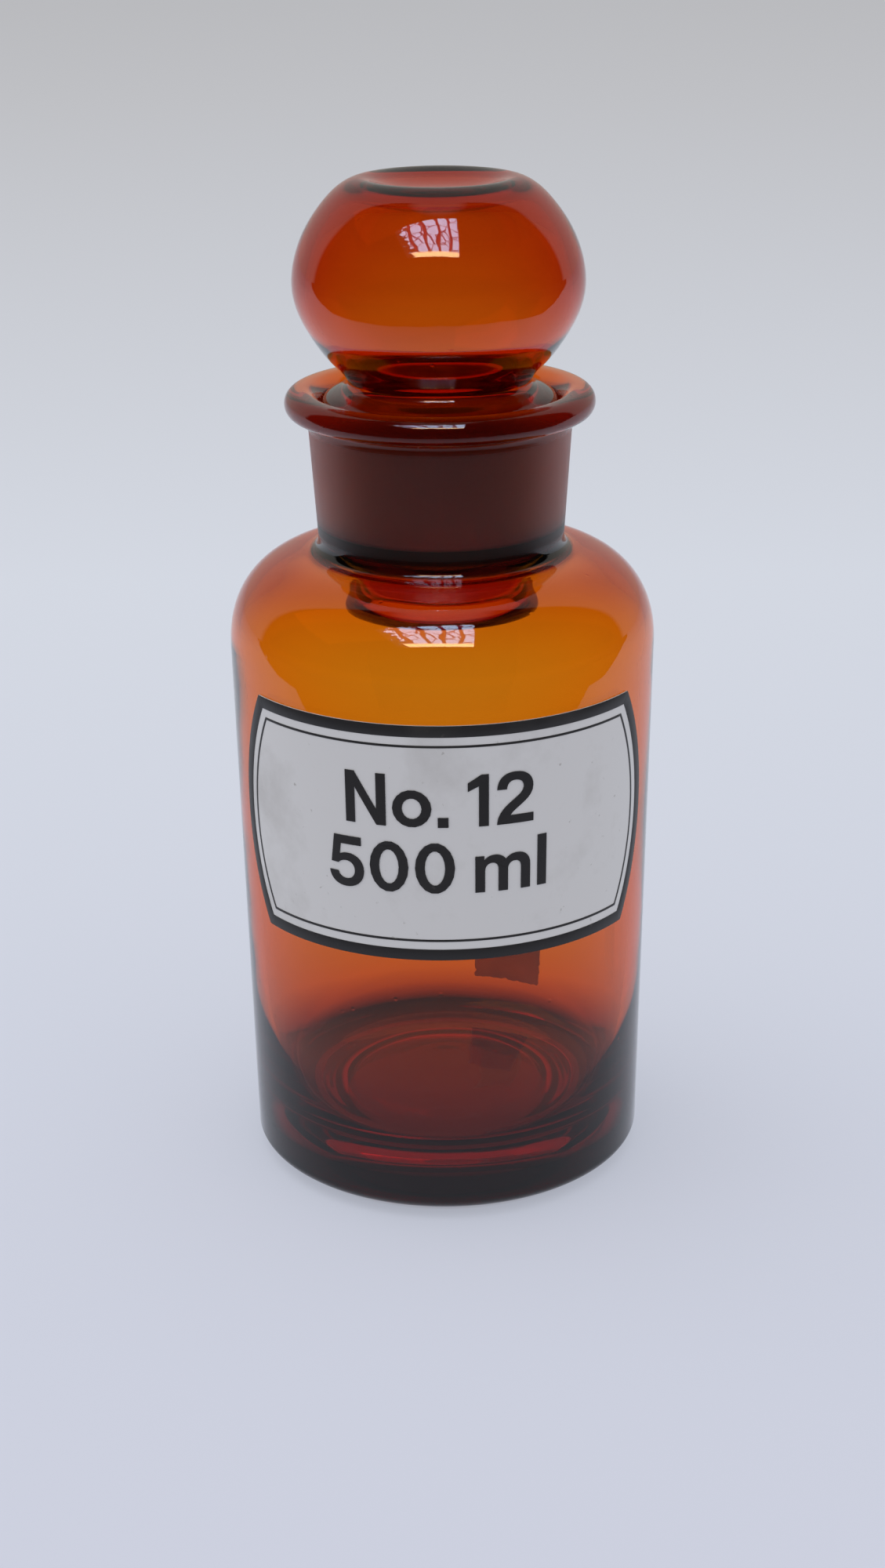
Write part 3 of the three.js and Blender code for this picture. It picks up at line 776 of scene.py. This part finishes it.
def dark_room_floor():
    """In reflections the sheet ends in a curve in front of the bottle, and a dim room begins."""
    near = [(-13.0, 6.4), (-2.7, 1.27), (-0.46, 0.03), (-0.26, -0.155), (-0.12, -0.235), (0.0, -0.27),
            (0.12, -0.245), (0.24, -0.19), (0.42, 0.01), (0.55, 0.07), (1.27, 0.44), (2.7, 1.35), (13.0, 6.7)]
    far = [(13.0, -13.0), (-13.0, -13.0)]
    put_down_everything()
    bpy.ops.mesh.primitive_plane_add(size=MM, enter_editmode=True)
    bpy.ops.mesh.merge(type="CENTER")
    outline = near + far
    bpy.ops.transform.translate(value=(*outline[0], 0.0004))
    for here, there in zip(outline, outline[1:]):
        step = (there[0] - here[0], there[1] - here[1], 0)
        bpy.ops.mesh.extrude_vertices_move(TRANSFORM_OT_translate={"value": step})
    bpy.ops.mesh.select_all(action="SELECT")
    bpy.ops.mesh.edge_face_add()
    bpy.ops.object.mode_set(mode="OBJECT")
    card = name_piece("unlit_room_floor")
    material, tree, shader = new_material("unlit room")
    shader.inputs["Base Color"].default_value = (0.03, 0.025, 0.022, 1.0)
    shader.inputs["Roughness"].default_value = 1.0
    shader.inputs["Specular IOR Level"].default_value = 0.0
    finish_with(card, material)
    only_in_reflections(card)


def direction(azimuth, elevation):
    """Unit vector from the bottle: azimuth 0 is the label's side, 90 is +X."""
    a, e = math.radians(azimuth), math.radians(elevation)
    return Vector((math.sin(a) * math.cos(e), -math.cos(a) * math.cos(e), math.sin(e)))


def window_card():
    """A tall window with a bare tree outside, seen only as a small reflection."""
    put_down_everything()
    bpy.ops.mesh.primitive_plane_add(size=1.0)
    card = name_piece("window_light")
    corners = [direction(-28, 38), direction(19, 39), direction(-56, 55), direction(36, 69)]
    for vertex, corner in zip(card.data.vertices, corners):
        vertex.co = Vector((0, 0, 0.16)) + corner * 3.0
    material, tree, shader = new_material("window daylight")
    place = tree.nodes.new("ShaderNodeTexCoord")
    split = tree.nodes.new("ShaderNodeSeparateXYZ")
    wire(tree, place.outputs["UV"], split.inputs[0])
    trunks = tree.nodes.new("ShaderNodeTexWave")
    trunks.inputs["Scale"].default_value = 1.5
    trunks.inputs["Distortion"].default_value = 3.5
    trunks.inputs["Detail"].default_value = 2.0
    trunks.inputs["Detail Scale"].default_value = 1.3
    wire(tree, place.outputs["UV"], trunks.inputs["Vector"])
    trunk = math_node(tree, "DIVIDE", math_node(tree, "SUBTRACT", trunks.outputs["Fac"], 0.11), 0.09, True)
    twigs = tree.nodes.new("ShaderNodeTexVoronoi")
    twigs.feature = "DISTANCE_TO_EDGE"
    twigs.inputs["Scale"].default_value = 5.0
    wire(tree, place.outputs["UV"], twigs.inputs["Vector"])
    twig = math_node(tree, "SUBTRACT", twigs.outputs["Distance"], 0.024)
    twig = math_node(tree, "DIVIDE", twig, 0.02, True)
    open_sky = math_node(tree, "MULTIPLY", trunk, twig)
    panes = mix_colour(tree, open_sky, (0.12, 0.01, 0.03), (0.52, 0.66, 0.92))
    sill = math_node(tree, "DIVIDE", math_node(tree, "SUBTRACT", 0.16, split.outputs[1]), 0.05, True)
    daylight = mix_colour(tree, sill, panes, (1.7, 1.05, 0.5))
    # shrubs outside break up the left edge
    shrubs = tree.nodes.new("ShaderNodeTexNoise")
    shrubs.inputs["Scale"].default_value = 7.0
    shrubs.inputs["Detail"].default_value = 3.0
    wire(tree, place.outputs["UV"], shrubs.inputs["Vector"])
    edge = math_node(tree, "ADD", split.outputs[0], math_node(tree, "MULTIPLY", shrubs.outputs[0], 0.7))
    open_side = math_node(tree, "DIVIDE", math_node(tree, "SUBTRACT", edge, 0.46), 0.03, True)
    wire(tree, mix_colour(tree, open_side, (0.02, 0.012, 0.01), daylight), shader.inputs["Emission Color"])
    shader.inputs["Base Color"].default_value = (0, 0, 0, 1)
    shader.inputs["Specular IOR Level"].default_value = 0.0
    shader.inputs["Emission Strength"].default_value = 12.0
    finish_with(card, material)
    only_in_reflections(card)


def soft_box():
    """A broad lamp overhead, a little to the left, so that the shadow falls softly to the right."""
    put_down_everything()
    bpy.ops.object.light_add(type="AREA", location=(-0.9, 0.2, 1.8))
    lamp = bpy.context.active_object
    lamp.name = "soft_box"
    lamp.data.shape = "RECTANGLE"
    lamp.data.size = 1.4
    lamp.data.size_y = 1.4
    lamp.data.energy = 6.0
    lamp.data.color = (1.0, 0.98, 0.96)
    lamp.rotation_euler = (Vector((0, 0, 0.08)) - lamp.location).to_track_quat("-Z", "Y").to_euler()
    lamp.visible_glossy = False


def camera_at_viewing_angle():
    """Half a metre in front of the bottle, looking down at it, with a slight tilt of the hand."""
    bpy.ops.object.camera_add(location=(-0.0003, -0.5216, 0.2818))
    camera = bpy.context.active_object
    camera.name = "viewing_camera"
    camera.data.lens = 59.85
    camera.data.sensor_width = 36.0
    camera.data.clip_start = 0.01
    aim = (Vector((-0.0003, 0, 0.08195)) - camera.location).to_track_quat("-Z", "Y")
    camera.rotation_mode = "QUATERNION"
    camera.rotation_quaternion = aim @ Quaternion((0, 0, 1), math.radians(-0.61))
    bpy.context.scene.camera = camera


plain_floor()
studio_world()
dark_room_floor()
window_card()
soft_box()
camera_at_viewing_angle()
scene = bpy.context.scene
scene.view_settings.view_transform = "Standard"
scene.cycles.max_bounces = 24
scene.cycles.transmission_bounces = 24
scene.cycles.glossy_bounces = 12
